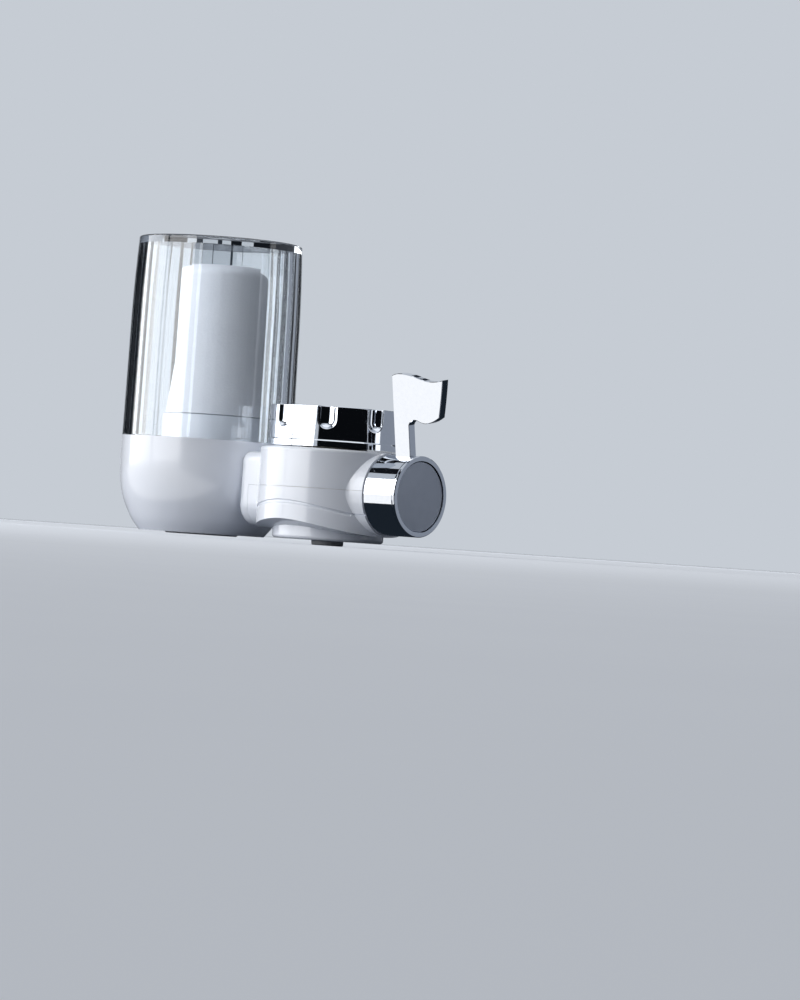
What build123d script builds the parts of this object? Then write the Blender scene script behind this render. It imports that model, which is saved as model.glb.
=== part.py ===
# Drinking filter with a diverter: a valve body under a union nut, with a clear
# filter housing on one side and a chrome diverter knob with a flag lever on the other.
# Millimetres. Modelled about the knob axis (X), then lowered so that the mouth of the
# inlet thread is the origin: +Z up out of the thread, +X towards the knob.
from build123d import *
from math import atan2, cos, pi, radians, sin, sqrt
import os

# Clearances, each used wherever that kind of fit occurs
running_gap = 0.08        # turning fits, on the radius
free_gap = 0.3            # faces that move past each other
seat_gap = 0.05           # pieces that rest in or against each other
seam_gap = 0.12           # parting line between the shells, a fine shadow
reach = 60.0              # how far a cutting shape runs past what it cuts

# Main layout, from the picture
inlet_height = 34.0       # knob axis up to the mouth of the inlet thread
body_radius = 30.8        # drum of the valve body
cup_radius = 37.4         # rim of the filter base
filter_gap = 5.2          # between the drum and the filter base
filter_offset = body_radius + filter_gap + cup_radius
shell_wall = 2.3

# Valve body shells
body_top = 17.6
seam_height = 0.9
body_edge = 1.5           # rounding of the top edge
flange_radius = 17.5
flange_end = body_radius + 1.8
flare_radius = 6.0        # soft sweep from the body into the knob flange
flare_sink = 0.2          # the sweep starts this far inside the drum
collar_half = 15.7        # squarish collar round the neck, half its width
collar_top = 15.2
collar_low = -16.2
collar_top_corner = 4.5
collar_low_corner = 9.0
collar_end = body_radius + 8.1
collar_edge = 3.4
collar_root = 20.0
collar_split = body_radius + 2.3
belly_swell = 5.2         # how far the elliptical belly, running along X, outgrows the drum
belly_half_width = body_radius + belly_swell
belly_depth = 11.0
belly_lift = 1.2          # the belly's ellipse is centred this far above the knob axis
tier_height = 6.9         # the second tier under the belly, down from the knob axis
tier_edge = 1.0           # rounding of the tier's upper edge
groove_gap = 0.6          # shadow line above the tier
groove_depth = 0.7

# Valve core inside the shells
core_radius = 22.0
core_bottom = -13.5
spool_radius = 10.0
spool_start = -12.0
spool_shaft = 9.0         # square drive, across flats
core_arm_radius = 13.4
core_arm_end = flange_end - 1.6
socket_radius = 12.4
socket_end = body_radius + 2.4
neck_radius = 9.0
neck_bore = 5.5
neck_end = 17.6
inlet_neck_radius = 14.2
inlet_neck_bore = 9.5
inlet_neck_top = 25.0
inlet_neck_floor = 11.0
port_radius = 3.0
gallery_radius = 3.5
filter_port_radius = 2.6
filter_port_rise = 5.6

inlet_port_x = 6.0
shower_port_x = -8.6
shower_port_radius = 2.2
spool_seals = (13.0, 26.0)
spool_seal_groove = 1.8
neck_seals = (21.5, 27.5)
neck_seal_groove = 1.5
inlet_groove_depth = 2.6

# Union nut and threaded adapter
nut_radius = 27.6
nut_skirt_radius = 28.1
nut_skirt_top = 21.2
nut_bottom = 18.3
nut_top = 35.4
nut_lip_top = 21.4
nut_thread_radius = 22.5
grip_count = 8
grip_first = -56.1        # degrees round from +X, of the notch that faces the viewer
grip_radius = 4.4
grip_depth = 10.0
grip_bite = 2.7
grip_edge = 0.5
nut_edge = 0.9
retainer_radius = 18.5
retainer_thickness = 1.5
retainer_bite = 1.2
retainer_split = 2.5
adapter_bottom = 26.6
adapter_shoulder = 27.8
adapter_bore = 11.0       # for the 22 mm inlet thread
adapter_throat = 8.0
washer_thickness = 1.6

# Diverter knob and lever
knob_radius = 16.95
knob_end = flange_end + 17.2
knob_wall = 2.1
knob_web_start = knob_end - 6.2
knob_web_end = knob_end - 3.4
knob_hub_radius = 7.6
knob_hub_start = core_arm_end + 4.0
face_radius = 14.7
face_gap = 0.25           # dark line round the disc
face_recess = 0.5
drive_end = knob_end - 5.5   # end of the square drive of the spool
screw_radius = 1.7
screw_length = 9.0
screw_head_radius = 3.2
bezel_line = 1.2          # dark line this far behind the face
lever_turn = 10.0         # degrees from upright towards the viewer, as pictured
lever_thickness = 3.9
lever_edge = 0.25
lever_left = flange_end + 6.1
stem_width = 8.1
flag_foot = 30.0
flag_corner = 50.6

# Outlet under the valve
nozzle_radius = 23.6
nozzle_bottom = -20.8
nozzle_wall = 2.2
nozzle_edge = 1.4
shower_bottom = nozzle_bottom + 0.8
shower_top = shower_bottom + 1.8
stream_radius = 6.8
stream_tube = 5.8
stream_bore = 4.6
stream_tube_top = core_bottom + 2.6
stream_bottom = nozzle_bottom - 2.1
stream_edge = 0.8
hole_radius = 0.7
shower_ring_radii = (9.4, 12.6, 15.8)
shower_hole_counts = (12, 18, 24)
spray_ring_radii = (2.6, 5.4, 8.2, 11.0, 13.6)
spray_hole_counts = (6, 12, 18, 24, 30)

# Filter base (the white cup)
cup_rim = 19.1
cup_bottom = -21.3
cup_rim_inner = cup_radius - 1.6
cup_ledge = 9.5
cup_ledge_inner = cup_radius - 5.4
cup_floor = cup_bottom + 5.8
cup_deep_floor = cup_bottom + 2.6
pocket_radius = 15.8
pocket_top = cup_bottom + 3.7
pedestal_radius = 11.0
pedestal_bore = 5.3
pedestal_top = 10.0
plate_thickness = 1.8
plate_proud = 0.6

# Clear cover and cartridge
cover_top = 106.0
cover_foot_radius = cup_radius - 0.2
cover_waist_radius = cover_foot_radius - 0.4
cover_waist = 61.0
cover_top_radius = cover_foot_radius - 1.7
cover_wall = 4.5          # at the foot; the draft leaves it thinner at the top
cover_top_wall = 3.6
cover_top_thickness = 3.4
cover_top_edge = 0.8
cover_facets = 48
cover_skirt_radius = cup_rim_inner - free_gap
cover_skirt_bottom = cup_ledge + 1.8
cartridge_top = 94.6
cartridge_seam = 30.2
cartridge_top_radius = 17.9
cartridge_foot_radius = 20.8
cartridge_offset = 3.0    # it stands this far from the cover's axis, towards the valve
cartridge_edge = 5.0
cartridge_bore = 12.0
cartridge_roof = 8.0
cap_bottom = 12.0
cap_radius = 21.2
cap_edge = 0.35
cap_boss = 5.0
spigot_radius = 5.2
spigot_bore = 3.4
spigot_bottom = -2.0

os.makedirs("parts", exist_ok=True)


def save(shape, node):
    """Lower a piece from the knob axis frame to the inlet frame and write it."""
    placed = Pos(0, 0, -inlet_height) * shape
    placed.label = node
    export_step(placed, f"parts/{node}.step")


def upright(radius, low, high, x=0):
    """A plain upright cylinder between two heights."""
    return Pos(x, 0, (low + high) / 2) * Cylinder(radius, high - low)


def along_x(radius, start, end):
    """A plain cylinder on the knob axis between two places along X."""
    return Pos((start + end) / 2, 0, 0) * Rot(0, 90, 0) * Cylinder(radius, end - start)


def turned(points, x=0):
    """A turned piece from (radius, height) points, about an upright axis."""
    face = make_face(Polyline([(r, 0, z) for r, z in points], close=True))
    return Pos(x, 0, 0) * revolve(face, Axis.Z)


def turned_x(points):
    """A turned piece from (place along X, radius) points, about the knob axis."""
    face = make_face(Polyline([(x, 0, r) for x, r in points], close=True))
    return revolve(face, Axis.X)


def rubber_ring(place, ring_radius, section):
    """A moulded rubber ring about the knob axis, its round section drawn with eight sides."""
    turns = [radians(45 * n + 22.5) for n in range(8)]
    return turned_x([(place + section * cos(t), ring_radius + section * sin(t)) for t in turns])


# Outer form of the valve body: an upright drum with a knob flange that sweeps out of it.
# The sweep is an arc that touches the drum and the flange, turned about the knob axis.
def flange_sweep(radius, flange, end):
    """The knob flange of a drum, with the flare that leads into it."""
    rise = flange + flare_radius
    sunk = radius - flare_sink
    centre = sqrt((sunk + flare_radius) ** 2 - rise ** 2)
    scale = sunk / (sunk + flare_radius)
    touch = (centre * scale, rise * scale)
    half = atan2(rise - touch[1], centre - touch[0]) / 2 + pi / 4
    middle = (centre - flare_radius * cos(half), rise - flare_radius * sin(half))
    with BuildPart() as sweep:
        with BuildSketch(Plane.XY):
            with BuildLine():
                Polyline(touch, (touch[0], 0), (end, 0), (end, flange), (centre, flange))
                ThreePointArc((centre, flange), middle, touch)
            make_face()
        revolve(axis=Axis.X)
    return sweep.part + along_x(flange, 0, end)


def belly(drop):
    """A bar along X with the rounded underside, half an ellipse wide."""
    half = belly_half_width
    with BuildPart() as bar:
        with BuildSketch(Plane.YZ):
            with BuildLine():
                EllipticalCenterArc((0, -drop), half, belly_depth, start_angle=180, arc_size=180)
                Polyline((half, -drop), (half, reach), (-half, reach), (-half, -drop))
            make_face()
        extrude(amount=reach, both=True)
    return bar.part


def belly_band(high_drop, low_drop):
    """A layer of the belly, between two of its curves."""
    half = belly_half_width
    with BuildPart() as band:
        with BuildSketch(Plane.YZ):
            with BuildLine():
                EllipticalCenterArc((0, -high_drop), half, belly_depth, start_angle=180, arc_size=180)
                Line((half, -high_drop), (half, -low_drop))
                EllipticalCenterArc((0, -low_drop), half, belly_depth, start_angle=180, arc_size=180)
                Line((-half, -low_drop), (-half, -high_drop))
            make_face()
        extrude(amount=reach, both=True)
    return band.part


def slab(low, high):
    """Everything between two heights."""
    return Pos(0, 0, (low + high) / 2) * Box(4 * reach, 4 * reach, high - low)


def squarish(half, low, high, low_corner, high_corner, start, end):
    """A bar along X whose section is a square with soft corners."""
    with BuildPart() as bar:
        with BuildSketch(Plane.YZ) as section:
            with Locations((0, (low + high) / 2)):
                Rectangle(2 * half, high - low)
            fillet(section.vertices().group_by(Axis.Y)[0], low_corner)
            fillet(section.vertices().group_by(Axis.Y)[-1], high_corner)
        extrude(amount=end - start)
    return Pos(start, 0, 0) * bar.part


drum = upright(body_radius, -reach, reach)
flange = flange_sweep(body_radius, flange_radius, flange_end)
outer = drum + flange

# Collar round the filter neck, rounded where it meets the cup
collar = squarish(collar_half, collar_low, collar_top, collar_low_corner, collar_top_corner,
                  -collar_end, -collar_root)
collar = fillet(collar.faces().sort_by(Axis.X)[0].edges(), collar_edge)
cup_keepout = upright(cup_radius + free_gap, -reach, reach, -filter_offset)
past_split = Pos(-collar_split - reach / 2, 0, 0) * Box(reach, 2 * reach, 2 * reach)
core_arm_hole = along_x(core_arm_radius + free_gap, 0, flange_end + 1)
socket_hole = along_x(socket_radius + free_gap, -collar_end - 1, 0)

# Upper shell
upper = outer & slab(seam_height, body_top)
upper = fillet(upper.faces().sort_by(Axis.Z)[-1].outer_wire().edges(), body_edge)
upper = upper + (collar & slab(seam_height, reach)) + (collar & past_split)
room = upright(body_radius - shell_wall, -reach, body_top - shell_wall)
upper = upper - room - cup_keepout - core_arm_hole - socket_hole
upper = upper - upright(inlet_neck_radius + free_gap, 0, reach)

# Lower shell: the drum, the rounded belly and the tier under it, with a shadow line
# between them. The tier stops short of the collar, and only its sides are rounded.
shell_top = seam_height - seam_gap
waist = upright(body_radius - groove_depth, -reach, reach)
waist = waist + along_x(flange_radius - groove_depth, 0, flange_end)
lower = waist & belly(tier_height - groove_depth) & slab(-reach, shell_top)
lower = lower + (outer & belly(-belly_lift) & slab(-reach, shell_top))
band = belly_band(groove_gap - belly_lift, tier_height)
tier_middle = Box(4 * reach, 2 * (collar_half + free_gap), 4 * reach)
tier_front = tier_middle & (Pos(reach, 0, 0) * Box(2 * reach, 2 * reach, 4 * reach))


def tier_top(edge):
    """True for the upper edges of the tier on the sides of the drum."""
    middle = edge @ 0.5
    height = belly_lift - groove_gap - belly_depth * sqrt(1 - (middle.Y / belly_half_width) ** 2)
    on_drum = abs(middle.X ** 2 + middle.Y ** 2 - body_radius ** 2) < 1
    return on_drum and abs(middle.Z - height) < groove_depth


tier_sides = (drum & band) - tier_middle
lower = lower + fillet(tier_sides.edges().filter_by(tier_top), tier_edge)
lower = lower + (outer & tier_front & band) + (flange & band)
collar_length = collar_split - seam_gap - collar_root / 2
collar_piece = Pos(-collar_root / 2 - collar_length / 2, 0, 0) * Box(collar_length, 2 * reach, 2 * reach)
lower = lower + (collar & slab(-reach, shell_top) & collar_piece)
hollow = upright(body_radius - shell_wall, -reach, reach) & belly(tier_height - shell_wall)
lower = lower - hollow - cup_keepout - core_arm_hole - socket_hole
lower = lower - upright(nozzle_radius + seat_gap, -reach, 0)
save(upper, "valve_body_upper")
save(lower, "valve_body_lower")

# Valve core: inlet neck on top, spool bore along X, socket for the filter neck, ports below
core_top = body_top - shell_wall - seat_gap
core = upright(core_radius, core_bottom, core_top)
core = core + upright(inlet_neck_radius, core_bottom, inlet_neck_top)
core = core + along_x(core_arm_radius, 0, core_arm_end)
core = core + along_x(socket_radius, -socket_end, 0)
core = core - along_x(spool_radius + running_gap, spool_start - free_gap, core_arm_end + 1)
core = core - along_x(neck_radius + seat_gap, -socket_end - 1, -neck_end + free_gap)
filter_port = Pos(0, 0, filter_port_rise) * along_x(filter_port_radius, -neck_end, spool_start)
core = core - filter_port
core = core - upright(inlet_neck_bore, inlet_neck_floor, inlet_neck_top + 1)
core = core - upright(port_radius, 0, inlet_neck_top, inlet_port_x)
core = core - upright(port_radius, core_bottom - 1, 0)
core = core - upright(stream_tube + seat_gap, core_bottom - 1, stream_tube_top + seat_gap)
core = core - upright(shower_port_radius, core_bottom - 1, 0, shower_port_x)
retainer_low = nut_lip_top + free_gap
retainer_high = retainer_low + retainer_thickness
retainer_groove = upright(reach, retainer_low - seat_gap, retainer_high + seat_gap)
core = core - (retainer_groove - upright(inlet_neck_radius - retainer_bite, 0, reach))
save(core, "valve_core")

# Snap ring that keeps the union nut on the inlet neck, split so that it can be sprung on
retainer = upright(retainer_radius, retainer_low, retainer_high)
retainer = retainer - upright(inlet_neck_radius - retainer_bite + seat_gap, 0, reach)
retainer = retainer - Pos(0, retainer_radius, 0) * Box(retainer_split, retainer_radius, 2 * reach)
save(retainer, "nut_retaining_ring")

# Diverter spool: inlet groove, one port for each way out, square drive for the knob
def groove(place, half_width, floor, top):
    """A ring to cut a groove with, about the knob axis."""
    return turned_x([
        (place - half_width, floor), (place + half_width, floor),
        (place + half_width, top), (place - half_width, top),
    ])


groove_half = port_radius + 0.4
spool = along_x(spool_radius, spool_start, core_arm_end)
spool = spool - groove(inlet_port_x, groove_half, spool_radius - inlet_groove_depth, spool_radius + 1)
spool = spool - along_x(gallery_radius, spool_start + 2.5, inlet_port_x + groove_half)
spool = spool - upright(port_radius, 0, 2 * spool_radius, inlet_port_x)
spool = spool - Rot(90, 0, 0) * upright(port_radius, -2 * spool_radius, 0)
spool = spool - Rot(-90, 0, 0) * upright(shower_port_radius, -2 * spool_radius, 0, shower_port_x)
spool = spool - Pos(0, 0, filter_port_rise) * along_x(filter_port_radius, spool_start - 1, shower_port_x)
spool = spool - Pos(shower_port_x, 0, 0) * Box(3, 4, 2 * filter_port_rise)
drive_length = drive_end - core_arm_end
spool = spool + Pos(core_arm_end + drive_length / 2, 0, 0) * Box(drive_length, spool_shaft, spool_shaft)
spool = spool - along_x(screw_radius + seat_gap, drive_end - screw_length - 1, drive_end + 1)
for place in spool_seals:
    spool = spool - groove(place, 1.2, spool_radius - spool_seal_groove, spool_radius + 1)
save(spool, "diverter_spool")
rings = [rubber_ring(place, spool_radius - 0.95, 0.85) for place in spool_seals]
save(rings[0] + rings[1], "spool_seal_rings")

# Chrome knob: a tube with an inner web and hub, a dark line round it just behind the face
line_x = knob_end - bezel_line
knob_start = flange_end + free_gap
screw_seat = knob_web_end - 1.4
knob = turned_x([
    (knob_start, knob_radius - knob_wall), (knob_start, knob_radius - 0.3),
    (knob_start + 0.3, knob_radius), (line_x - 0.35, knob_radius), (line_x, knob_radius - 0.6),
    (line_x + 0.35, knob_radius), (knob_end - 0.3, knob_radius), (knob_end, knob_radius - 0.3),
    (knob_end, face_radius + face_gap), (knob_web_end, face_radius + face_gap),
    (knob_web_end, screw_head_radius + free_gap), (screw_seat, screw_head_radius + free_gap),
    (screw_seat, screw_radius + seat_gap), (drive_end + seat_gap, screw_radius + seat_gap),
    (drive_end + seat_gap, screw_radius + free_gap), (knob_hub_start, screw_radius + free_gap),
    (knob_hub_start, knob_hub_radius), (knob_web_start, knob_hub_radius),
    (knob_web_start, knob_radius - knob_wall),
])
socket = spool_shaft + 2 * seat_gap
socket_length = drive_end + seat_gap - knob_hub_start + 1
knob = knob - Pos(knob_hub_start - 1 + socket_length / 2, 0, 0) * Box(socket_length, socket, socket)
lever_frame = Rot(lever_turn, 0, 0)
stem_middle = lever_left + stem_width / 2
tenon_length = stem_width - 2.4
tenon_width = lever_thickness - 1.4
slot = Box(tenon_length + 2 * seat_gap, tenon_width + 2 * seat_gap, 4 * knob_wall)
knob = knob - lever_frame * Pos(stem_middle, 0, knob_radius) * slot
save(knob, "knob_barrel")

# Satin disc let into the face of the knob
disc = along_x(face_radius, knob_web_end + seat_gap, knob_end - face_recess)
disc = chamfer(disc.edges().sort_by(Axis.X)[-1], 0.25)
save(disc, "knob_face_disc")

# Screw behind the disc
screw = along_x(screw_radius, drive_end - screw_length, screw_seat)
screw = screw + along_x(screw_head_radius, screw_seat, knob_web_end)
cross = Pos(knob_web_end, 0, 0) * (Box(1.6, 0.8, 3.4) + Box(1.6, 3.4, 0.8))
save(screw - cross, "knob_screw")

# Flag lever: a straight stem that widens into a waved flag out over the knob face
stem_right = lever_left + stem_width
lever_foot = knob_radius - 1.5
under_wave = [(1.3, 31.6), (3.4, 32.2), (6.4, 31.3), (9.7, 30.9), (13.7, 32.0), (16.5, 33.5)]
over_wave = [(19.3, 49.2), (14.5, 48.5), (9.3, 48.9), (3.9, 50.4), (-0.8, 51.3), (-5.0, 51.5)]
flag_bottom = [(stem_right + x, z) for x, z in under_wave]
flag_tip = (stem_right + 18.1, 41.5)
flag_top = [(stem_right + x, z) for x, z in over_wave]
with BuildPart() as lever_build:
    with BuildSketch(Plane.XZ):
        with BuildLine():
            Line((lever_left, lever_foot), (stem_right, lever_foot))
            Line((stem_right, lever_foot), (stem_right, flag_foot))
            Spline((stem_right, flag_foot), *flag_bottom)
            Spline(flag_bottom[-1], flag_tip, flag_top[0])
            Spline(*flag_top, (lever_left, flag_corner))
            Line((lever_left, flag_corner), (lever_left, lever_foot))
        make_face()
    extrude(amount=lever_thickness / 2, both=True)
lever = lever_build.part
broad_sides = lever.faces().sort_by(Axis.Y)
lever = chamfer(broad_sides[0].edges() + broad_sides[-1].edges(), lever_edge)
lever = lever - along_x(knob_radius + seat_gap, 0, 2 * reach)
tenon = Pos(stem_middle, 0, knob_radius - 0.4) * Box(tenon_length, tenon_width, 2.4)
save(lever_frame * (lever + tenon), "lever")

# Union nut: scooped grips all round, a plain ring below them, a lip that lifts the valve
nut_hole = inlet_neck_radius + free_gap
nut = turned([
    (nut_hole, nut_bottom), (nut_skirt_radius, nut_bottom),
    (nut_skirt_radius, nut_skirt_top - 0.5), (nut_radius, nut_skirt_top), (nut_radius, nut_top),
    (nut_thread_radius + nut_edge, nut_top), (nut_thread_radius, nut_top - nut_edge),
    (nut_thread_radius, nut_lip_top), (nut_hole, nut_lip_top),
])
scoop_axis = nut_radius + grip_radius - grip_bite
scoop_foot = nut_top - grip_depth + grip_radius
scoop = upright(grip_radius, scoop_foot, nut_top + 1, scoop_axis)
scoop = scoop + Pos(scoop_axis, 0, scoop_foot) * Sphere(grip_radius)
for n in range(grip_count):
    nut = nut - Rot(0, 0, grip_first + n * 360 / grip_count) * scoop


def grip_side(edge):
    """True for the edges of the scoops and of the outer top rim."""
    middle = edge.center()
    outside = middle.X ** 2 + middle.Y ** 2 > (nut_thread_radius + 2 * nut_edge) ** 2
    return outside and middle.Z > scoop_foot - grip_radius


nut = fillet(nut.edges().filter_by(grip_side), grip_edge)
save(nut, "union_nut")

# Threaded adapter with its two washers
adapter_outer = nut_thread_radius - running_gap
adapter_relief = adapter_shoulder + washer_thickness
adapter = turned([
    (adapter_throat, adapter_bottom), (adapter_outer - 1, adapter_bottom),
    (adapter_outer, adapter_bottom + 1),
    (adapter_outer, inlet_height - 0.8), (adapter_outer - 0.8, inlet_height),
    (adapter_bore, inlet_height), (adapter_bore, adapter_relief),
    (adapter_bore + 0.35, adapter_relief), (adapter_bore + 0.35, adapter_shoulder),
    (adapter_throat, adapter_shoulder),
])
save(adapter, "tap_adapter")
washer = upright(adapter_bore - seat_gap, adapter_shoulder, adapter_shoulder + washer_thickness)
save(washer - upright(adapter_throat - 0.5, 0, reach), "inlet_washer")
seal = upright(inlet_neck_radius, inlet_neck_top, adapter_bottom)
save(seal - upright(inlet_neck_bore, 0, reach), "adapter_seal")

# Outlet ring under the valve, with the shower plate and the stream nozzle in the middle
nozzle = upright(nozzle_radius, nozzle_bottom, core_bottom - seat_gap)
nozzle = fillet(nozzle.edges().sort_by(Axis.Z)[0], nozzle_edge)
nozzle = nozzle - upright(nozzle_radius - nozzle_wall, shower_bottom, shower_top)
nozzle = nozzle - upright(nozzle_radius - 2 * nozzle_wall, -reach, 0)
save(nozzle, "outlet_ring")
shower = upright(nozzle_radius - nozzle_wall - seat_gap, shower_bottom + seat_gap, shower_top - seat_gap)
shower = shower - upright(stream_tube + seat_gap, -reach, 0)


def drilled(plate, ring_radii, hole_counts):
    """Drill rings of spray holes, each with its own radius and number of holes."""
    holes = []
    for ring_radius, count in zip(ring_radii, hole_counts):
        for n in range(count):
            turn = radians(360 * n / count)
            place = Location((ring_radius * cos(turn), ring_radius * sin(turn), 0))
            holes.append(upright(hole_radius, -reach, 0).moved(place))
    return plate - holes


save(drilled(shower, shower_ring_radii, shower_hole_counts), "shower_plate")
stream = upright(stream_tube, shower_bottom - 0.5, stream_tube_top)
head = upright(stream_radius, stream_bottom, shower_bottom - seat_gap)
head = fillet(head.edges().sort_by(Axis.Z)[0], stream_edge)
save(stream + head - upright(stream_bore, -reach, 0), "stream_nozzle")

# Filter base: a deep cup that rounds in to a flat foot, neck to the valve, central pedestal
at_filter = Pos(-filter_offset, 0, 0)
at_cartridge = Pos(cartridge_offset - filter_offset, 0, 0)
cup_foot = (cup_radius - 10.1, cup_bottom)
cup_side = [
    (cup_radius - 6.8, -17.1), (cup_radius - 4.4, -12.7),
    (cup_radius - 2.5, -8.2), (cup_radius - 0.6, 0.6),
]
cup_shoulder = (cup_radius - 0.1, 9.0)
with BuildPart() as cup_build:
    with BuildSketch(Plane.XZ):
        with BuildLine():
            Line((0, cup_bottom), cup_foot)
            Spline(cup_foot, *cup_side, cup_shoulder, tangents=[(0.62, 0.78), (0.02, 1)])
            Line(cup_shoulder, (cup_radius, cup_rim))
            Line((cup_radius, cup_rim), (0, cup_rim))
            Line((0, cup_rim), (0, cup_bottom))
        make_face()
    revolve(axis=Axis.Z)
cup = at_filter * cup_build.part
neck_start = -filter_offset + cup_ledge_inner - 2
cup = cup + along_x(socket_radius + free_gap - seat_gap, neck_start, -socket_end - seat_gap)
cup = cup + along_x(neck_radius, neck_start, -neck_end)
deep_edge = pocket_radius + 2.4
room = turned([
    (0, cup_floor), (deep_edge, cup_floor), (deep_edge, cup_deep_floor),
    (cup_ledge_inner - 6.8, cup_deep_floor), (cup_ledge_inner - 3.8, cup_deep_floor + 3.7),
    (cup_ledge_inner - 1, cup_deep_floor + 10.2), (cup_ledge_inner, 0), (cup_ledge_inner, cup_ledge),
    (cup_rim_inner, cup_ledge), (cup_rim_inner, cup_rim + 1), (0, cup_rim + 1),
], -filter_offset)
cup = cup - room - along_x(neck_bore, neck_start - 3, -neck_end + 1)
pedestal = upright(pedestal_radius, cup_floor - 1, pedestal_top)
cup = cup + at_cartridge * pedestal
cup = cup - upright(pocket_radius, cup_bottom - 1, pocket_top, -filter_offset)
cup = cup - at_cartridge * upright(pedestal_bore + seat_gap, cup_bottom - 1, pedestal_top + 1)
for place in neck_seals:
    cup = cup - groove(-place, 1.1, neck_radius - neck_seal_groove, neck_radius + 0.04)
save(cup, "filter_base")
rings = [rubber_ring(-place, neck_radius - 0.75, 0.72) for place in neck_seals]
save(rings[0] + rings[1], "neck_seal_rings")

# Spray plate in the foot of the base
plate_radius = pocket_radius - seat_gap
plate_bottom = cup_bottom - plate_proud
plate = upright(plate_radius, plate_bottom, plate_bottom + plate_thickness)
plate = chamfer(plate.edges().sort_by(Axis.Z)[0], 0.4)
plate = drilled(plate, spray_ring_radii, spray_hole_counts)
plate_rim = upright(plate_radius, cup_bottom, pocket_top - seat_gap) - upright(plate_radius - 1.6, -reach, 0)
save(at_filter * (plate + plate_rim), "filter_spray_plate")

# Gasket on the ledge of the cup and the thick clear cover that stands on it
inner_foot = cover_foot_radius - cover_wall
inner_top = cover_top_radius - cover_top_wall
gasket = upright(cup_rim_inner - seat_gap, cup_ledge, cover_skirt_bottom) - upright(inner_foot, -reach, reach)
save(at_filter * gasket, "cover_gasket")
foot = cup_rim + free_gap
skirt_foot = cover_skirt_bottom + free_gap
top_edge = (cover_top_radius, cover_top - cover_top_edge)
with BuildPart() as cover_build:
    with BuildSketch(Plane.XZ):
        with BuildLine():
            Polyline((0, cover_top), (0, skirt_foot), (cover_skirt_radius, skirt_foot),
                     (cover_skirt_radius, foot), (cover_foot_radius, foot))
            Spline((cover_foot_radius, foot), (cover_waist_radius, cover_waist), top_edge)
            Line(top_edge, (cover_top_radius - cover_top_edge, cover_top))
            Line((cover_top_radius - cover_top_edge, cover_top), (0, cover_top))
        make_face()
    revolve(axis=Axis.Z)
wide = Pos(0, 0, cover_skirt_bottom) * RegularPolygon(inner_foot, cover_facets)
narrow = Pos(0, 0, cover_top - cover_top_thickness) * RegularPolygon(inner_top, cover_facets)
save(at_filter * (cover_build.part - loft([wide, narrow])), "clear_cover")

# Ceramic cartridge on its plastic cap, sealed on the pedestal by a flat gasket
candle = turned([
    (0, cartridge_seam), (cartridge_foot_radius, cartridge_seam),
    (cartridge_top_radius, cartridge_top), (0, cartridge_top),
])
candle = fillet(candle.edges().sort_by(Axis.Z)[-1], cartridge_edge)
bore = upright(cartridge_bore, cartridge_seam - cap_boss, cartridge_top - cartridge_roof)
candle = candle - fillet(bore.edges().sort_by(Axis.Z)[-1], cartridge_edge - 1)
save(at_cartridge * candle, "ceramic_cartridge")
cap_top = cartridge_seam - seat_gap
cap = upright(cap_radius, cap_bottom, cap_top)
cap = chamfer(cap.edges().sort_by(Axis.Z)[-1], cap_edge)
cap = cap + upright(cartridge_bore - seat_gap, cap_bottom, cap_top + cap_boss)
cap = cap + upright(spigot_radius, spigot_bottom, cap_top)
cap = cap - upright(spigot_bore, -reach, reach)
save(at_cartridge * cap, "cartridge_cap")
ring = upright(pedestal_radius - free_gap, pedestal_top, cap_bottom)
save(at_cartridge * (ring - upright(spigot_radius + seat_gap, -reach, reach)), "cartridge_gasket")
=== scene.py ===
from math import atan2, cos, pi, radians, sin
import bpy
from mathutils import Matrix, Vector


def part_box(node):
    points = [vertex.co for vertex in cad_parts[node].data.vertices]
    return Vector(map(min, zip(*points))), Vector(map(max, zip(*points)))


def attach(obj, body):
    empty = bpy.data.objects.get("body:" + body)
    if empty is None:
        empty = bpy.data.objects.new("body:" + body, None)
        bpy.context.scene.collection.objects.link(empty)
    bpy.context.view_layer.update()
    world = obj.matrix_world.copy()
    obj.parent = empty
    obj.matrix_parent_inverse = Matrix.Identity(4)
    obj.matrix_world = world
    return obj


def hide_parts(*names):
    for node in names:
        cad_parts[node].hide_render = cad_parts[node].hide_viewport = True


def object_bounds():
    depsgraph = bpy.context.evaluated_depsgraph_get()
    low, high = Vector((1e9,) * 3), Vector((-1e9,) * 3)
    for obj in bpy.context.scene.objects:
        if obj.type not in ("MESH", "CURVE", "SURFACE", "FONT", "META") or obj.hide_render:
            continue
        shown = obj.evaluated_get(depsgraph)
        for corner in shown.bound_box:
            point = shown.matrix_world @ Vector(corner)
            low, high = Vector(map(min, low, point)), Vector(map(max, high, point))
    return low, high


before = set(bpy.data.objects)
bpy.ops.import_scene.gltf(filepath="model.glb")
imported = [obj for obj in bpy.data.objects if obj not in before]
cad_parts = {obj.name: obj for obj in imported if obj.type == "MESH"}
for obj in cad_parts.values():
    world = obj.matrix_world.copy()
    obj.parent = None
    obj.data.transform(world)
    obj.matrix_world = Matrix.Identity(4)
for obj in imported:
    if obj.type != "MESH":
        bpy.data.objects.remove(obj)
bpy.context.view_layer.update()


# VALVE CORE
# The block inside the shells: one moulding of natural acetal, with the inlet neck on top and
# bores for the spool and the filter neck. It comes out waxy, off-white and low in gloss.
def linear(colour):
    """An sRGB hex colour as the linear numbers that a shader takes."""
    parts = [int(colour[n:n + 2], 16) / 255 for n in (1, 3, 5)]
    return [c / 12.92 if c <= 0.04045 else ((c + 0.055) / 1.055) ** 2.4 for c in parts] + [1.0]


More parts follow.
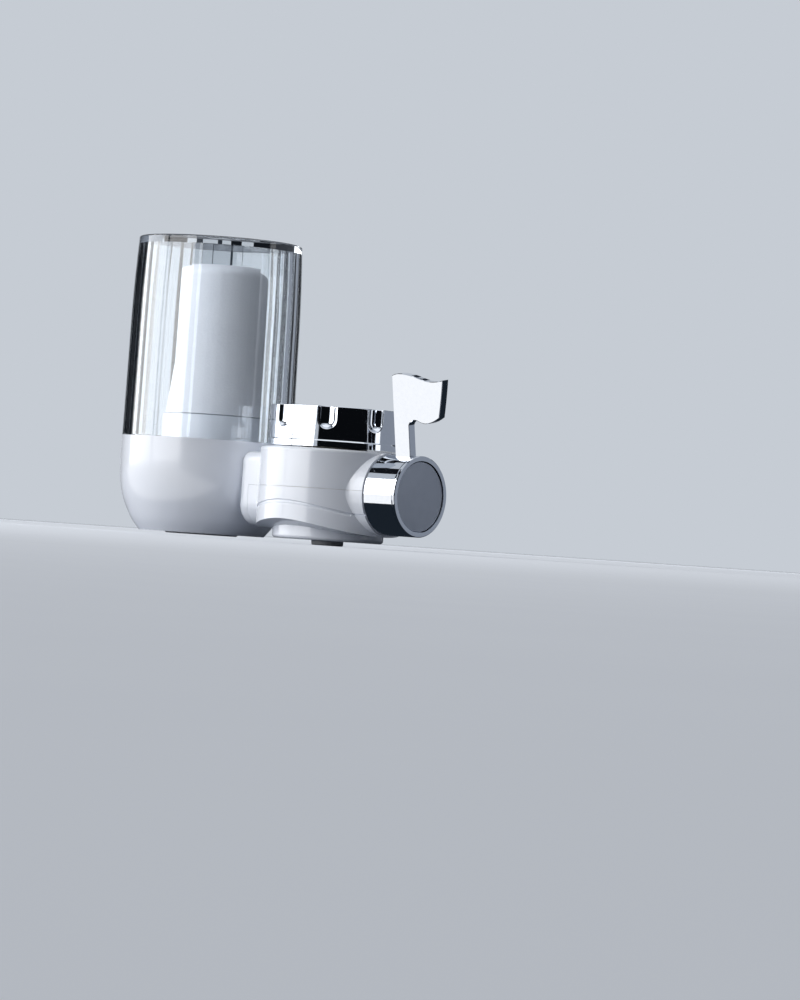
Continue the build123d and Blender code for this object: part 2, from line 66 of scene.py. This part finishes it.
def add(material, kind, settings):
    """Adds a node. A setting is a value or another node's outlet, for a socket or a property."""
    node = material.node_tree.nodes.new(kind)
    for name, value in settings.items():
        if isinstance(value, bpy.types.NodeSocket):
            material.node_tree.links.new(value, node.inputs[name])
        elif isinstance(name, int) or name in node.inputs:
            node.inputs[name].default_value = value
        else:
            setattr(node, name, value)
    return node


def start(name):
    """An empty material, with the outlet that gives the place on the object in metres."""
    material = bpy.data.materials.new(name)
    material.use_nodes = True
    material.node_tree.nodes.clear()
    return material, add(material, "ShaderNodeTexCoord", {}).outputs["Object"]


def coat(material, settings, *names):
    """Ends a material with its shader and puts it on the solids that are made of it."""
    shader = add(material, "ShaderNodeBsdfPrincipled", settings)
    add(material, "ShaderNodeOutputMaterial", {"Surface": shader.outputs["BSDF"]})
    for name in names:
        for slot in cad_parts[name].material_slots:
            slot.material = material


# A node that mixes two tones has no names of their own for these sockets, only numbers
mix_share, mix_from, mix_to, mix_result = 0, 6, 7, 2

# Moulded acetal: the sparked mould leaves a fine grain that spreads the shine, drawn 0.5 mm
# wide so that it shows. Thick places cool slowly and cloud the plastic.
core_grain = 0.0005
core_cloud = 0.012
acetal, place = start("moulded_natural_acetal")
grain = add(acetal, "ShaderNodeTexNoise",
            {"Vector": place, "Scale": 1 / core_grain, "Detail": 3.0}).outputs["Fac"]
cloud = add(acetal, "ShaderNodeTexNoise",
            {"Vector": place, "Scale": 1 / core_cloud, "Detail": 2.0}).outputs["Fac"]
tone = add(acetal, "ShaderNodeMix",
           {"data_type": "RGBA", mix_share: cloud,
            mix_from: linear("#D3D1C8"), mix_to: linear("#DFDDD5")}).outputs[mix_result]
gloss = add(acetal, "ShaderNodeMapRange", {"Value": grain, "To Min": 0.34, "To Max": 0.48})
dents = add(acetal, "ShaderNodeBump", {"Height": grain, "Distance": 0.00001})
coat(acetal, {"Base Color": tone, "Roughness": gloss.outputs[0], "IOR": 1.48,
              "Normal": dents.outputs[0]}, "valve_core")

# DIVERTER SPOOL
# The turning plug that chooses between the filter, the shower plate and the nozzle. It is
# pale grey acetal, moulded and then ground true on its seat, so it has fine rings.
ring_width = 0.0003
ring_stretch = 0.02
spool_acetal, place = start("ground_grey_acetal")
along = add(spool_acetal, "ShaderNodeMapping",
            {"Vector": place, "Scale": (1.0, ring_stretch, ring_stretch)}).outputs[0]
rings = add(spool_acetal, "ShaderNodeTexNoise",
            {"Vector": along, "Scale": 1 / ring_width, "Detail": 2.0}).outputs["Fac"]
tone = add(spool_acetal, "ShaderNodeMix",
           {"data_type": "RGBA", mix_share: rings,
            mix_from: linear("#B9BBBD"), mix_to: linear("#C6C8CA")}).outputs[mix_result]
gloss = add(spool_acetal, "ShaderNodeMapRange", {"Value": rings, "To Min": 0.24, "To Max": 0.38})
lines = add(spool_acetal, "ShaderNodeBump", {"Height": rings, "Distance": 0.000005})
coat(spool_acetal, {"Base Color": tone, "Roughness": gloss.outputs[0], "IOR": 1.48,
                    "Normal": lines.outputs[0]}, "diverter_spool")

# SEALS
# O-rings on the spool and the filter neck, and the flat washers of the inlet, the cover and
# the cartridge: nitrile rubber, compression moulded, matt black with a greyish bloom.
bloom_width = 0.003
pit_width = 0.0004
rubber, place = start("moulded_nitrile_rubber")
bloom = add(rubber, "ShaderNodeTexNoise",
            {"Vector": place, "Scale": 1 / bloom_width, "Detail": 5.0}).outputs["Fac"]
pits = add(rubber, "ShaderNodeTexNoise",
           {"Vector": place, "Scale": 1 / pit_width, "Detail": 2.0}).outputs["Fac"]
tone = add(rubber, "ShaderNodeMix",
           {"data_type": "RGBA", mix_share: bloom,
            mix_from: linear("#161618"), mix_to: linear("#29292C")}).outputs[mix_result]
gloss = add(rubber, "ShaderNodeMapRange", {"Value": bloom, "To Min": 0.50, "To Max": 0.78})
skin = add(rubber, "ShaderNodeBump", {"Height": pits, "Distance": 0.00002})
coat(rubber, {"Base Color": tone, "Roughness": gloss.outputs[0], "IOR": 1.52,
              "Normal": skin.outputs[0]},
     "spool_seal_rings", "neck_seal_rings", "inlet_washer", "adapter_seal", "cover_gasket",
     "cartridge_gasket")

# VALVE BODY
# Two gloss white ABS shells, moulded in a polished tool and pressed together round the core.
# The outlet ring under them and the filter base beside them come from the same plastic.
shell_wave = 0.020
shell_scuff = 0.0012
gloss_abs, place = start("moulded_gloss_white_abs")
# Where the wall cooled unevenly the skin waves, here 20 mm long and a few hundredths deep
wave = add(gloss_abs, "ShaderNodeTexNoise",
           {"Vector": place, "Scale": 1 / shell_wave, "Detail": 1.0}).outputs["Fac"]
# Fine scuffs from wiping, which only the shine shows
scuff = add(gloss_abs, "ShaderNodeTexNoise",
            {"Vector": place, "Scale": 1 / shell_scuff, "Detail": 6.0}).outputs["Fac"]
tone = add(gloss_abs, "ShaderNodeMix",
           {"data_type": "RGBA", mix_share: wave,
            mix_from: linear("#E6EBF5"), mix_to: linear("#EEF2F9")}).outputs[mix_result]
gloss = add(gloss_abs, "ShaderNodeMapRange", {"Value": scuff, "To Min": 0.13, "To Max": 0.23})
sink = add(gloss_abs, "ShaderNodeBump", {"Height": wave, "Distance": 0.00012})
coat(gloss_abs, {"Base Color": tone, "Roughness": gloss.outputs[0], "IOR": 1.54,
                 "Coat Weight": 0.35, "Coat Roughness": 0.06, "Coat IOR": 1.5,
                 "Normal": sink.outputs[0]},
     "valve_body_upper", "valve_body_lower", "outlet_ring", "filter_base")

# SPRAY PLATES AND STREAM NOZZLE
# Thin white ABS plates with rings of drilled holes, one under the valve with the nozzle in
# its middle, and one in the foot of the filter. Their tool is sparked, so the skin is satin.
plate_grain = 0.0004
plate_cloud = 0.006
satin_abs, place = start("moulded_satin_white_abs")
grain = add(satin_abs, "ShaderNodeTexVoronoi",
            {"Vector": place, "Scale": 1 / plate_grain}).outputs["Distance"]
cloud = add(satin_abs, "ShaderNodeTexNoise",
            {"Vector": place, "Scale": 1 / plate_cloud, "Detail": 3.0}).outputs["Fac"]
tone = add(satin_abs, "ShaderNodeMix",
           {"data_type": "RGBA", mix_share: cloud,
            mix_from: linear("#DDE1E9"), mix_to: linear("#E8EBF1")}).outputs[mix_result]
gloss = add(satin_abs, "ShaderNodeMapRange", {"Value": cloud, "To Min": 0.30, "To Max": 0.42})
dents = add(satin_abs, "ShaderNodeBump", {"Height": grain, "Distance": 0.00001})
coat(satin_abs, {"Base Color": tone, "Roughness": gloss.outputs[0], "IOR": 1.54,
                 "Normal": dents.outputs[0]}, "shower_plate", "stream_nozzle", "filter_spray_plate")

# THREADED ADAPTER
# Turned brass with a nickel plate, held in the union nut. The lathe tool leaves rings a few
# tenths of a millimetre apart, and the plate is warmer than chrome.
tool_feed = 0.0003
stain_width = 0.004
# At a scale of 1 the wave texture has its waves this far apart
wave_unit = 2 * pi / 20
nickel, place = start("nickel_plated_brass")
turned = add(nickel, "ShaderNodeTexWave",
             {"Vector": place, "Scale": wave_unit / tool_feed, "wave_type": "RINGS",
              "rings_direction": "Z", "Distortion": 0.4}).outputs["Fac"]
stain = add(nickel, "ShaderNodeTexNoise",
            {"Vector": place, "Scale": 1 / stain_width, "Detail": 4.0}).outputs["Fac"]
tone = add(nickel, "ShaderNodeMix",
           {"data_type": "RGBA", mix_share: stain,
            mix_from: linear("#B9B3A6"), mix_to: linear("#CFCABF")}).outputs[mix_result]
gloss = add(nickel, "ShaderNodeMapRange", {"Value": stain, "To Min": 0.14, "To Max": 0.26})
lines = add(nickel, "ShaderNodeBump", {"Height": turned, "Distance": 0.000006})
coat(nickel, {"Base Color": tone, "Metallic": 1.0, "Roughness": gloss.outputs[0],
              "Normal": lines.outputs[0]}, "tap_adapter")

# The inlet thread, 22 mm by 1 mm, is cut into the bore. It is drawn as a solid of its own:
# one ridge wound up the bore, which runs out into the wall at both ends.
bore_radius = 0.0110
thread_depth = 0.00054
thread_bite = 0.00005
thread_foot = -0.0044
thread_pitch = 0.0010
thread_turns = 3.5
flank_height = 0.00031
crest_height = 0.00013
ring_count = 252
ring_corners = 4
runout_rings = 18
least_ridge = 0.05


def draw(name, points, centre):
    """Draws a turned piece's half section beside its axis, each side drawn on from the last."""
    bpy.ops.object.select_all(action="DESELECT")
    bpy.ops.mesh.primitive_plane_add(size=1.0, location=(0, 0, 0))
    piece = bpy.context.object
    piece.name = name
    bpy.ops.object.mode_set(mode="EDIT")
    bpy.ops.mesh.select_mode(type="VERT")
    bpy.ops.mesh.merge(type="CENTER")
    bpy.ops.transform.translate(value=(centre + points[0][0], 0, points[0][1]))
    for (r, z), (next_r, next_z) in zip(points, points[1:]):
        bpy.ops.mesh.extrude_region_move(
            TRANSFORM_OT_translate={"value": (next_r - r, 0, next_z - z)})
    return piece


wall = bore_radius + thread_bite
crest = bore_radius - thread_depth
crest_foot = thread_foot + flank_height
crest_top = crest_foot + crest_height
thread_section = [(wall, thread_foot), (crest, crest_foot), (crest, crest_top),
                  (wall, crest_top + flank_height)]
thread = draw("tap_thread", thread_section, 0.0)
bpy.ops.mesh.select_all(action="SELECT")
bpy.ops.mesh.edge_face_add()
bpy.ops.object.mode_set(mode="OBJECT")
winding = thread.modifiers.new("winding", "SCREW")
winding.angle = 2 * pi * thread_turns
winding.screw_offset = thread_pitch * thread_turns
winding.steps = ring_count
winding.render_steps = ring_count
bpy.ops.object.modifier_apply(modifier="winding")
for number, corner in enumerate(thread.data.vertices):
    ring = number // ring_corners
    height = min(1.0, least_ridge + min(ring, ring_count - ring) / runout_rings)
    radius = Vector((corner.co.x, corner.co.y)).length
    shift = (wall - (wall - radius) * height) / radius
    corner.co.x *= shift
    corner.co.y *= shift
bpy.ops.object.mode_set(mode="EDIT")
bpy.ops.mesh.select_all(action="SELECT")
bpy.ops.mesh.fill_holes(sides=ring_corners)
bpy.ops.mesh.select_all(action="SELECT")
bpy.ops.mesh.normals_make_consistent(inside=False)
bpy.ops.object.mode_set(mode="OBJECT")
# The turns bend by 5 degrees a step and stay smooth, and the ridge keeps its edges
thread_sharp_from = 20
bpy.ops.object.shade_smooth_by_angle(angle=radians(thread_sharp_from))
thread.data.materials.append(nickel)
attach(thread, "valve")

# RETAINING RING AND KNOB SCREW
# A split ring of stainless spring steel that carries the nut on its neck, and the screw behind
# the knob's disc. Both are rolled and pickled, grey with a faint cloud in the skin.
pickle_cloud = 0.002
steel, place = start("rolled_stainless_steel")
cloud = add(steel, "ShaderNodeTexNoise",
            {"Vector": place, "Scale": 1 / pickle_cloud, "Detail": 4.0}).outputs["Fac"]
tone = add(steel, "ShaderNodeMix",
           {"data_type": "RGBA", mix_share: cloud,
            mix_from: linear("#A4A8AC"), mix_to: linear("#BCC0C4")}).outputs[mix_result]
gloss = add(steel, "ShaderNodeMapRange", {"Value": cloud, "To Min": 0.24, "To Max": 0.40})
skin = add(steel, "ShaderNodeBump", {"Height": cloud, "Distance": 0.00001})
coat(steel, {"Base Color": tone, "Metallic": 1.0, "Roughness": gloss.outputs[0],
             "Normal": skin.outputs[0]}, "nut_retaining_ring", "knob_screw")

# UNION NUT, KNOB BARREL AND LEVER
# ABS mouldings with a bright chrome plate. The plate is mirror smooth, but it follows the
# plastic below, so long soft waves bend what it mirrors, and wiping leaves a faint haze.
chrome_wave = 0.009
chrome_haze = 0.0015
chrome, place = start("bright_chrome_plate")
wave = add(chrome, "ShaderNodeTexNoise",
           {"Vector": place, "Scale": 1 / chrome_wave, "Detail": 1.0}).outputs["Fac"]
haze = add(chrome, "ShaderNodeTexNoise",
           {"Vector": place, "Scale": 1 / chrome_haze, "Detail": 5.0}).outputs["Fac"]
tone = add(chrome, "ShaderNodeMix",
           {"data_type": "RGBA", mix_share: haze,
            mix_from: linear("#D9DDE4"), mix_to: linear("#E3E6EB")}).outputs[mix_result]
gloss = add(chrome, "ShaderNodeMapRange", {"Value": haze, "To Min": 0.02, "To Max": 0.07})
sink = add(chrome, "ShaderNodeBump", {"Height": wave, "Distance": 0.00002})
coat(chrome, {"Base Color": tone, "Metallic": 1.0, "Roughness": gloss.outputs[0],
              "Normal": sink.outputs[0]}, "union_nut", "knob_barrel", "lever")

# KNOB FACE DISC
# A metal disc let into the end of the knob, turned to a satin face and plated a cool grey.
# Its fine circular lines, 0.25 mm apart, stretch the highlights across them.
disc_feed = 0.00025
disc_cloud = 0.005
satin, place = start("satin_grey_plate")
low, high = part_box("knob_face_disc")
middle = (0.0, -(low[1] + high[1]) / 2, -(low[2] + high[2]) / 2)
face = add(satin, "ShaderNodeMapping", {"Vector": place, "Location": middle}).outputs[0]
rings = add(satin, "ShaderNodeTexWave",
            {"Vector": face, "Scale": wave_unit / disc_feed, "wave_type": "RINGS",
             "rings_direction": "X", "Distortion": 0.3}).outputs["Fac"]
cloud = add(satin, "ShaderNodeTexNoise",
            {"Vector": face, "Scale": 1 / disc_cloud, "Detail": 4.0}).outputs["Fac"]
tone = add(satin, "ShaderNodeMix",
           {"data_type": "RGBA", mix_share: cloud,
            mix_from: linear("#B6BDCA"), mix_to: linear("#C2C8D4")}).outputs[mix_result]
gloss = add(satin, "ShaderNodeMapRange", {"Value": rings, "To Min": 0.38, "To Max": 0.46})
lines = add(satin, "ShaderNodeBump", {"Height": rings, "Distance": 0.000004})
coat(satin, {"Base Color": tone, "Metallic": 1.0, "Roughness": gloss.outputs[0],
             "Anisotropic": 0.3, "Normal": lines.outputs[0]}, "knob_face_disc")

# CARTRIDGE
# A slip cast and fired ceramic candle, glued on a plain white moulded cap. It is matt and
# chalky, clouded where the slip was thicker, with its grains drawn coarse, 0.9 mm, to show.
ceramic_grit = 0.0009
slip_cloud = 0.010
grit_weight = 0.6
cloud_weight = 0.3
least_share = 0.1
ceramic, place = start("fired_porous_ceramic")
grit = add(ceramic, "ShaderNodeTexNoise",
           {"Vector": place, "Scale": 1 / ceramic_grit, "Detail": 4.0}).outputs["Fac"]
cloud = add(ceramic, "ShaderNodeTexNoise",
            {"Vector": place, "Scale": 1 / slip_cloud, "Detail": 3.0}).outputs["Fac"]
speck = add(ceramic, "ShaderNodeMath",
            {"operation": "MULTIPLY_ADD", 0: grit, 1: grit_weight, 2: least_share}).outputs[0]
both = add(ceramic, "ShaderNodeMath",
           {"operation": "MULTIPLY_ADD", 0: cloud, 1: cloud_weight, 2: speck}).outputs[0]
tone = add(ceramic, "ShaderNodeMix",
           {"data_type": "RGBA", mix_share: both,
            mix_from: linear("#B9BDC8"), mix_to: linear("#DADCE1")}).outputs[mix_result]
gloss = add(ceramic, "ShaderNodeMapRange", {"Value": grit, "To Min": 0.70, "To Max": 0.90})
skin = add(ceramic, "ShaderNodeBump", {"Height": grit, "Distance": 0.00008})
coat(ceramic, {"Base Color": tone, "Roughness": gloss.outputs[0], "IOR": 1.5,
               "Normal": skin.outputs[0]}, "ceramic_cartridge")

# The cap is satin white ABS, from a tool with a fine sparked grain
cap_grain = 0.0006
cap_cloud = 0.015
cap_abs, place = start("moulded_satin_cap_abs")
grain = add(cap_abs, "ShaderNodeTexNoise",
            {"Vector": place, "Scale": 1 / cap_grain, "Detail": 3.0}).outputs["Fac"]
cloud = add(cap_abs, "ShaderNodeTexNoise",
            {"Vector": place, "Scale": 1 / cap_cloud, "Detail": 2.0}).outputs["Fac"]
plain = add(cap_abs, "ShaderNodeMix",
            {"data_type": "RGBA", mix_share: cloud,
             mix_from: linear("#C6CBD5"), mix_to: linear("#D2D6DE")}).outputs[mix_result]
# Painted shade: a grey line half a millimetre high where the candle stands on the cap, for the
# seam's shadow
shade_line_edge = 0.0006
shade_line_full = 0.0004
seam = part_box("ceramic_cartridge")[0][2]
height = add(cap_abs, "ShaderNodeSeparateXYZ", {"Vector": place}).outputs["Z"]
painted_seam_shade = add(cap_abs, "ShaderNodeMapRange",
           {"Value": height, "From Min": seam - shade_line_edge, "From Max": seam - shade_line_full})
tone = add(cap_abs, "ShaderNodeMix",
           {"data_type": "RGBA", mix_share: painted_seam_shade.outputs[0],
            mix_from: plain, mix_to: linear("#70767F")}).outputs[mix_result]
gloss = add(cap_abs, "ShaderNodeMapRange", {"Value": grain, "To Min": 0.30, "To Max": 0.42})
dents = add(cap_abs, "ShaderNodeBump", {"Height": grain, "Distance": 0.00001})
coat(cap_abs, {"Base Color": tone, "Roughness": gloss.outputs[0], "IOR": 1.54,
               "Normal": dents.outputs[0]}, "cartridge_cap")

# CLEAR COVER
# A thick tube with a closed top, moulded in clear SAN and screwed down into the base. Its
# outside is smooth, and forty-eight flats inside it throw the light into upright streaks.
low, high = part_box("clear_cover")
cover_x = (low[0] + high[0]) / 2
cover_top, skirt_foot = high[2], low[2]
foot_radius = (high[0] - low[0]) / 2
skirt_radius = foot_radius - 0.0017
waist_radius = foot_radius - 0.0004
top_radius = foot_radius - 0.0017
skirt_top = skirt_foot + 0.0078
straight_height = 0.041
top_thickness = 0.0034
top_rounding = 0.0008
flats_foot = foot_radius - 0.0045
flats_top = top_radius - 0.0036
flat_count = 48
round_steps = 192
lean_steps = 12
rounding_steps = 6
weld = 0.000005


def turn(steps, centre):
    """Spins the drawn section right round its axis and welds the seam and the middle."""
    bpy.ops.mesh.select_all(action="SELECT")
    bpy.ops.mesh.spin(steps=steps, angle=2 * pi, center=(centre, 0, 0), axis=(0, 0, 1))
    bpy.ops.mesh.select_all(action="SELECT")
    bpy.ops.mesh.remove_doubles(threshold=weld)
    bpy.ops.object.mode_set(mode="OBJECT")


# The outside goes up nearly straight and then leans in on one long curve to the rounded edge
lean_foot = skirt_top + straight_height
lean_height = cover_top - top_rounding - lean_foot
lean = [(waist_radius + (top_radius - waist_radius) * (n / lean_steps) ** 2,
         lean_foot + lean_height * n / lean_steps) for n in range(lean_steps + 1)]
bends = [radians(90 * n / rounding_steps) for n in range(1, rounding_steps + 1)]
rounding = [(top_radius - top_rounding * (1 - cos(bend)),
             cover_top - top_rounding * (1 - sin(bend))) for bend in bends]
inside = [(0.0, cover_top - top_thickness), (flats_top, cover_top - top_thickness),
          (flats_foot, skirt_foot)]
foot = [(skirt_radius, skirt_foot), (skirt_radius, skirt_top), (foot_radius, skirt_top)]
cover = draw("clear_cover_fluted", inside + foot + lean + rounding + [(0.0, cover_top)], cover_x)
turn(round_steps, cover_x)

# The inside is pulled in from a round bore to flats, each as wide as four steps of the turn
flat = 2 * pi / flat_count
least_bore = 0.01
bore_margin = 0.0001
top_margin = 0.001
for corner in cover.data.vertices:
    across = corner.co - Vector((cover_x, 0, corner.co.z))
    in_bore = least_bore < across.length < flats_foot + bore_margin
    if in_bore and corner.co.z < cover_top - top_margin:
        along_flat = atan2(across.y, across.x) % flat - flat / 2
        corner.co -= across * (1 - cos(flat / 2) / cos(along_flat))
bpy.ops.object.mode_set(mode="EDIT")
bpy.ops.mesh.select_all(action="SELECT")
bpy.ops.mesh.normals_make_consistent(inside=False)
bpy.ops.object.mode_set(mode="OBJECT")
# Flats meet at 7.5 degrees, so from 7 on an edge stays sharp, and the outside is smooth
flats_sharp_from = 7
bpy.ops.object.shade_smooth_by_angle(angle=radians(flats_sharp_from))

# Moulded SAN: clear as glass and a little heavier to the eye, with slow waves in its skin and
# a faint haze from wiping
cover_wave = 0.018
cover_haze = 0.003
san, place = start("moulded_clear_san")
wave = add(san, "ShaderNodeTexNoise",
           {"Vector": place, "Scale": 1 / cover_wave, "Detail": 1.0}).outputs["Fac"]
haze = add(san, "ShaderNodeTexNoise",
           {"Vector": place, "Scale": 1 / cover_haze, "Detail": 5.0}).outputs["Fac"]
gloss = add(san, "ShaderNodeMapRange", {"Value": haze, "To Min": 0.0, "To Max": 0.02})
sink = add(san, "ShaderNodeBump", {"Height": wave, "Distance": 0.00002})
coat(san, {"Base Color": linear("#F3F7FA"), "Roughness": gloss.outputs[0], "IOR": 1.57,
           "Transmission Weight": 1.0, "Normal": sink.outputs[0]})
cover.data.materials.append(san)
cover.visible_shadow = False
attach(cover, "cover")
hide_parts("clear_cover")

# STUDIO FLOOR
# A pale paper floor under the lowest point. It fades out some metres away, where the pale
# backdrop takes over.
floor_radius = 6.0
fade_start = 1.2
fade_end = 4.0
fibre_width = 0.03
floor_lift = 0.40
bpy.ops.object.select_all(action="DESELECT")
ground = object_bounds()[0][2]
bpy.ops.mesh.primitive_circle_add(vertices=128, radius=floor_radius, fill_type="NGON",
                                  location=(0, 0, ground))
floor = bpy.context.object
floor.name = "studio_floor"
paper, place = start("pale_paper")
reach = add(paper, "ShaderNodeVectorMath", {"operation": "LENGTH", 0: place}).outputs["Value"]
fade = add(paper, "ShaderNodeMapRange",
           {"interpolation_type": "SMOOTHSTEP", "Value": reach,
            "From Min": fade_start, "From Max": fade_end}).outputs["Result"]
fibre = add(paper, "ShaderNodeTexNoise",
            {"Vector": place, "Scale": 1 / fibre_width, "Detail": 6.0}).outputs["Fac"]
tone = add(paper, "ShaderNodeMix",
           {"data_type": "RGBA", mix_share: fibre,
            mix_from: linear("#C2C6CD"), mix_to: linear("#C8CCD2")}).outputs[mix_result]
# The camera sees it pale, with a little plain light added and its shadow kept. Under the lamps
# it is a darker grey, so that it doesn't throw the light back up into the shaded sides
direct = add(paper, "ShaderNodeLightPath", {}).outputs["Is Camera Ray"]
shade = add(paper, "ShaderNodeMix",
            {"data_type": "RGBA", mix_share: direct,
             mix_from: linear("#979CA5"), mix_to: tone}).outputs[mix_result]
matt = add(paper, "ShaderNodeBsdfDiffuse", {"Color": shade}).outputs[0]
lift = add(paper, "ShaderNodeMath", {"operation": "MULTIPLY", 0: direct, 1: floor_lift}).outputs[0]
glow = add(paper, "ShaderNodeEmission", {"Color": linear("#E6ECF5"), "Strength": lift}).outputs[0]
lit = add(paper, "ShaderNodeAddShader", {0: matt, 1: glow}).outputs[0]
# Paper has one good side: the back of it is left clear, so that the underside can be looked at
back = add(paper, "ShaderNodeNewGeometry", {}).outputs["Backfacing"]
clear = add(paper, "ShaderNodeMath", {"operation": "MAXIMUM", 0: fade, 1: back}).outputs[0]
away = add(paper, "ShaderNodeBsdfTransparent", {}).outputs[0]
sheet = add(paper, "ShaderNodeMixShader", {0: clear, 1: lit, 2: away}).outputs[0]
add(paper, "ShaderNodeOutputMaterial", {"Surface": sheet})
floor.data.materials.append(paper)

# STUDIO BACKDROP
# What is seen directly, in a mirror or through the clear cover is a pale blue grey. What
# lights the object is much weaker, so that the lamps give it its shape.
studio = bpy.data.worlds.new("studio_backdrop")
bpy.context.scene.world = studio
studio.use_nodes = True
studio.node_tree.nodes.clear()
path = add(studio, "ShaderNodeLightPath", {}).outputs
mirrored = add(studio, "ShaderNodeMath", {"operation": "MAXIMUM", 0: path["Is Glossy Ray"],
                                          1: path["Is Transmission Ray"]}).outputs[0]
seen = add(studio, "ShaderNodeMath", {"operation": "MAXIMUM", 0: path["Is Camera Ray"],
                                      1: mirrored}).outputs[0]
backdrop = add(studio, "ShaderNodeBackground", {"Color": linear("#C6CCD4"), "Strength": 1.0})
light = add(studio, "ShaderNodeBackground", {"Color": linear("#EAF0FF"), "Strength": 0.08})
surround = add(studio, "ShaderNodeMixShader", {0: seen, 1: light.outputs[0],
                                               2: backdrop.outputs[0]})
add(studio, "ShaderNodeOutputWorld", {"Surface": surround.outputs[0]})

# LAMPS
# Two soft boxes stand side by side to the left of the camera and a thin strip lamp to the
# right. A weak wide lamp behind and one overhead fill in the far side, the floor and the tops.
camera_place = (1.09564, -1.24264, -0.05349)
camera_turn = atan2(camera_place[1], camera_place[0])


def softbox(name, degrees, distance, width, height, radiance):
    """A rectangular lamp standing on the floor, so many degrees round from the camera."""
    angle = camera_turn + radians(degrees)
    place = Vector((distance * cos(angle), distance * sin(angle), ground + height / 2))
    bpy.ops.object.light_add(type="AREA", location=place)
    lamp = bpy.context.object
    lamp.name = name
    lamp.data.shape = "RECTANGLE"
    lamp.data.size = width
    lamp.data.size_y = height
    lamp.data.energy = radiance * pi * width * height
    lamp.rotation_euler = (Vector((0, 0, place[2])) - place).to_track_quat("-Z", "Y").to_euler()
    lamp.visible_camera = False
    return lamp


softbox("key_softbox", degrees=-57, distance=1.45, width=1.10, height=1.35, radiance=3.7)
softbox("side_softbox", degrees=-101, distance=1.45, width=1.10, height=0.98, radiance=3.6)
softbox("edge_strip", degrees=82, distance=1.30, width=0.22, height=1.10, radiance=0.9)

# Metal and glass don't show the lamp behind
back_fill = softbox("back_fill", degrees=176, distance=1.90, width=1.70, height=1.30, radiance=1.5)
back_fill.visible_glossy = False
back_fill.visible_transmission = False

overhead_height = 1.6
overhead_width = 1.5
overhead_radiance = 0.55
bpy.ops.object.light_add(type="AREA", location=(0, 0, ground + overhead_height))
overhead = bpy.context.object
overhead.name = "overhead_lamp"
overhead.data.size = overhead_width
overhead.data.energy = overhead_radiance * pi * overhead_width ** 2
overhead.visible_camera = False

# CARDS
# Dark and grey cards stand between the lamps and lie on the floor. Metal and glass mirror them
# as dark edges and lines. The black card also keeps light off the shaded side.
card_radius = 1.15
card_steps = 24
card_lift = 0.0002


def finish_card(sheet, colour, strength, shades):
    """Gives a card its plain tone. The camera sees it only in metal and glass."""
    cloth = start(sheet.name + "_cloth")[0]
    glow = add(cloth, "ShaderNodeEmission", {"Color": linear(colour), "Strength": strength})
    add(cloth, "ShaderNodeOutputMaterial", {"Surface": glow.outputs[0]})
    sheet.data.materials.append(cloth)
    sheet.visible_camera = False
    sheet.visible_diffuse = shades
    sheet.visible_shadow = False


def card(name, first, last, foot, top, colour, shades=False):
    """A curved card between two angles round from the camera and two heights over the floor."""
    sheet = draw(name, [(card_radius, ground + foot), (card_radius, ground + top)], 0.0)
    bpy.ops.mesh.select_all(action="SELECT")
    bpy.ops.transform.rotate(value=-(camera_turn + radians(last)), orient_axis="Z",
                             center_override=(0, 0, 0))
    bpy.ops.mesh.spin(steps=card_steps, angle=radians(last - first), center=(0, 0, 0),
                      axis=(0, 0, 1))
    bpy.ops.object.mode_set(mode="OBJECT")
    finish_card(sheet, colour, 1.0, shades)


card("black_card", first=-29, last=76, foot=0.0, top=1.3, colour="#0B0D10", shades=True)
card("grey_card", first=88, last=150, foot=0.0, top=1.3, colour="#8F96A2")
card("top_flag", first=-120, last=-29, foot=1.10, top=1.50, colour="#15181D")
card("left_flag", first=-160, last=-124, foot=0.0, top=1.3, colour="#15181D")
card("left_line", first=-171, last=-166, foot=0.0, top=1.3, colour="#15181D")
card("left_hairline", first=-177, last=-175, foot=0.0, top=1.3, colour="#30353D")
card("right_flag", first=152, last=168, foot=0.0, top=1.3, colour="#15181D")
card("right_line", first=173, last=176, foot=0.0, top=1.3, colour="#30353D")


def floor_card(name, left, near, right, far, colour, strength):
    """A card that lies on the floor, from two of its corners. The clear cover doesn't show it."""
    bpy.ops.object.select_all(action="DESELECT")
    bpy.ops.mesh.primitive_plane_add(size=1.0, location=(0, 0, 0))
    sheet = bpy.context.object
    sheet.name = name
    bpy.ops.object.mode_set(mode="EDIT")
    bpy.ops.transform.resize(value=(right - left, far - near, 1))
    bpy.ops.transform.translate(value=((left + right) / 2, (near + far) / 2, ground + card_lift))
    bpy.ops.object.mode_set(mode="OBJECT")
    sheet.visible_transmission = False
    finish_card(sheet, colour, strength, False)


floor_card("bounce_card", left=-0.9, near=-0.9, right=0.02, far=-0.055,
           colour="#FFFFFF", strength=1.25)
floor_card("dark_floor_card", left=-0.06, near=-0.055, right=0.9, far=0.9,
           colour="#1E252D", strength=1.0)

# CAMERA
# It stands where the picture was taken from, level with the foot of the valve. Its place and
# its turns were fitted to the rims in the picture.
camera_turns = (90.625, -3.908, 40.340)
bpy.ops.object.camera_add(location=camera_place, rotation=[radians(a) for a in camera_turns])
camera = bpy.context.object
camera.data.sensor_width = 36
camera.data.lens = 140.80
camera.data.clip_start = 0.001
bpy.context.scene.camera = camera
bpy.context.scene.view_settings.view_transform = "Standard"
